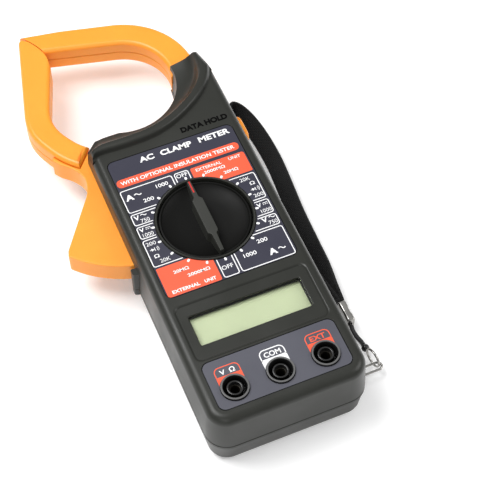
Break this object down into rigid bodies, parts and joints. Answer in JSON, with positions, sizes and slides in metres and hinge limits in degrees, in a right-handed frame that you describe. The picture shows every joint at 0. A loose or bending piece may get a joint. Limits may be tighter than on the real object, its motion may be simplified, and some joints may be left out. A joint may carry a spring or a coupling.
{
  "type": "clamp meter",
  "caption": "Hand-held clamp meter with an opening current jaw, a trigger lever, a rotary range dial, a display, test-lead sockets and a wrist strap.",
  "frame": {"origin": "on the flat back of the case, on its centre line, below the middle of the front panel", "axes": "+Z is the outward normal of the front face, +Y runs from the sockets to the jaws, +X points to the hold button"},
  "size_m": [0.108, 0.2264, 0.0366],
  "materials": {
    "case": "satin, fine texture",
    "jaw": "satin orange",
    "label": "matte printed film",
    "black_plastic": "satin",
    "ivory_plastic": "satin",
    "rubber_strip": "matte",
    "board": "satin solder mask",
    "lcd": "pale green reflective",
    "window": "polished",
    "steel": "bright",
    "core_steel": "laminated, dark",
    "brass": "polished",
    "copper_wire": "enamelled copper wire",
    "battery_can": "satin",
    "webbing": "woven"
  },
  "bodies": {
    "case": {"front_case": "case", "rear_case": "case", "battery_door": "case", "fixed_jaw_front_shell": "jaw", "fixed_jaw_rear_shell": "jaw", "dial_label": "label", "socket_label": "label", "socket_volt_ohm": "black_plastic", "socket_common": "black_plastic", "socket_external": "black_plastic", "meter_chip": "black_plastic", "buzzer": "black_plastic", "battery_snap": "black_plastic", "lcd_frame": "black_plastic", "strap_bead": "black_plastic", "detent_ring": "ivory_plastic", "coil_bobbin": "ivory_plastic", "lcd_rubber_connector": "rubber_strip", "main_board": "board", "lcd_glass": "lcd", "lcd_window": "window", "case_screw_1": "steel", "case_screw_2": "steel", "case_screw_3": "steel", "case_screw_4": "steel", "battery_door_screw": "steel", "board_screw_1": "steel", "board_screw_2": "steel", "pivot_pin": "steel", "trigger_spring": "steel", "hold_switch": "steel", "strap_crimp": "steel", "strap_ring": "steel", "strap_link": "steel", "fixed_core": "core_steel", "socket_sleeve_volt_ohm": "brass", "socket_sleeve_common": "brass", "socket_sleeve_external": "brass", "coil_winding": "copper_wire", "battery": "battery_can", "strap_webbing": "webbing", "strap_cord": "webbing"},
    "clamp": {"trigger_lever": "jaw", "moving_jaw_front_shell": "jaw", "moving_jaw_rear_shell": "jaw", "moving_core": "core_steel"},
    "dial": {"dial_knob": "black_plastic", "switch_rotor": "ivory_plastic", "rotor_contact_inner": "brass", "rotor_contact_outer": "brass", "detent_ball_1": "steel", "detent_ball_2": "steel", "detent_spring_1": "steel", "detent_spring_2": "steel"},
    "hold_key": {"hold_button": "jaw", "hold_plunger": "black_plastic"}
  },
  "joints": [
    {"name": "jaw_open", "type": "hinge", "parent": "case", "child": "clamp", "pos_m": [-0.021, 0.072, 0.0187], "axis": [0, 0, 1], "range_deg": [0, 32], "stiffness_Nm_per_rad": 0.7, "springref_deg": -22.92},
    {"name": "dial_turn", "type": "hinge", "parent": "case", "child": "dial", "pos_m": [0, 0.03, 0.03], "axis": [0, 0, 1], "continuous": true},
    {"name": "hold_press", "type": "slide", "parent": "case", "child": "hold_key", "axis": [-1, 0, 0], "range_m": [0, 0.0012], "stiffness_N_per_m": 1500, "springref_m": -0.0004}
  ]
}
